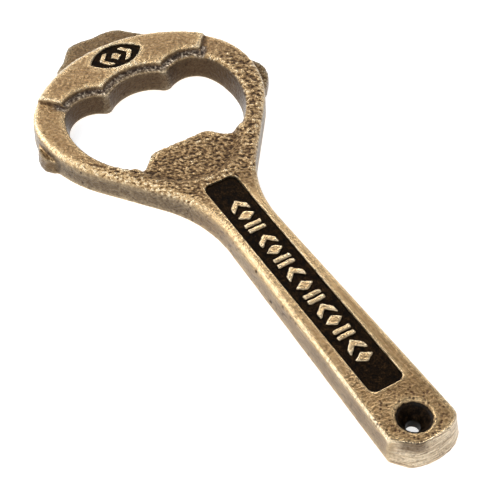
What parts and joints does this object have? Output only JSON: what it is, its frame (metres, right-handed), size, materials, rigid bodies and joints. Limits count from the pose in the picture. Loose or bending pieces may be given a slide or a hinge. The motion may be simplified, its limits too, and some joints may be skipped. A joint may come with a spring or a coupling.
{
  "type": "bottle opener",
  "caption": "Cast bronze souvenir bottle opener: finger-scalloped ring head with a cap tab, flat widening handle with a black enamel panel, and a hanging hole.",
  "frame": {"origin": "centre of the bounding box at the flat back that the opener lies on", "axes": "+X along the opener from the head to the hanging hole, +Y across it, +Z out of the decorated face; the XZ plane is the mirror plane"},
  "size_m": [0.155, 0.0654, 0.0076],
  "materials": {
    "aged_bronze": "as-cast aged bronze, pitted grain, edges worn bright",
    "black_enamel": "black enamel fill, satin, slightly mottled"
  },
  "bodies": {
    "root": {"cast_body": "aged_bronze", "handle_panel_enamel": "black_enamel", "emblem_enamel": "black_enamel", "hole_enamel": "black_enamel"}
  },
  "joints": []
}
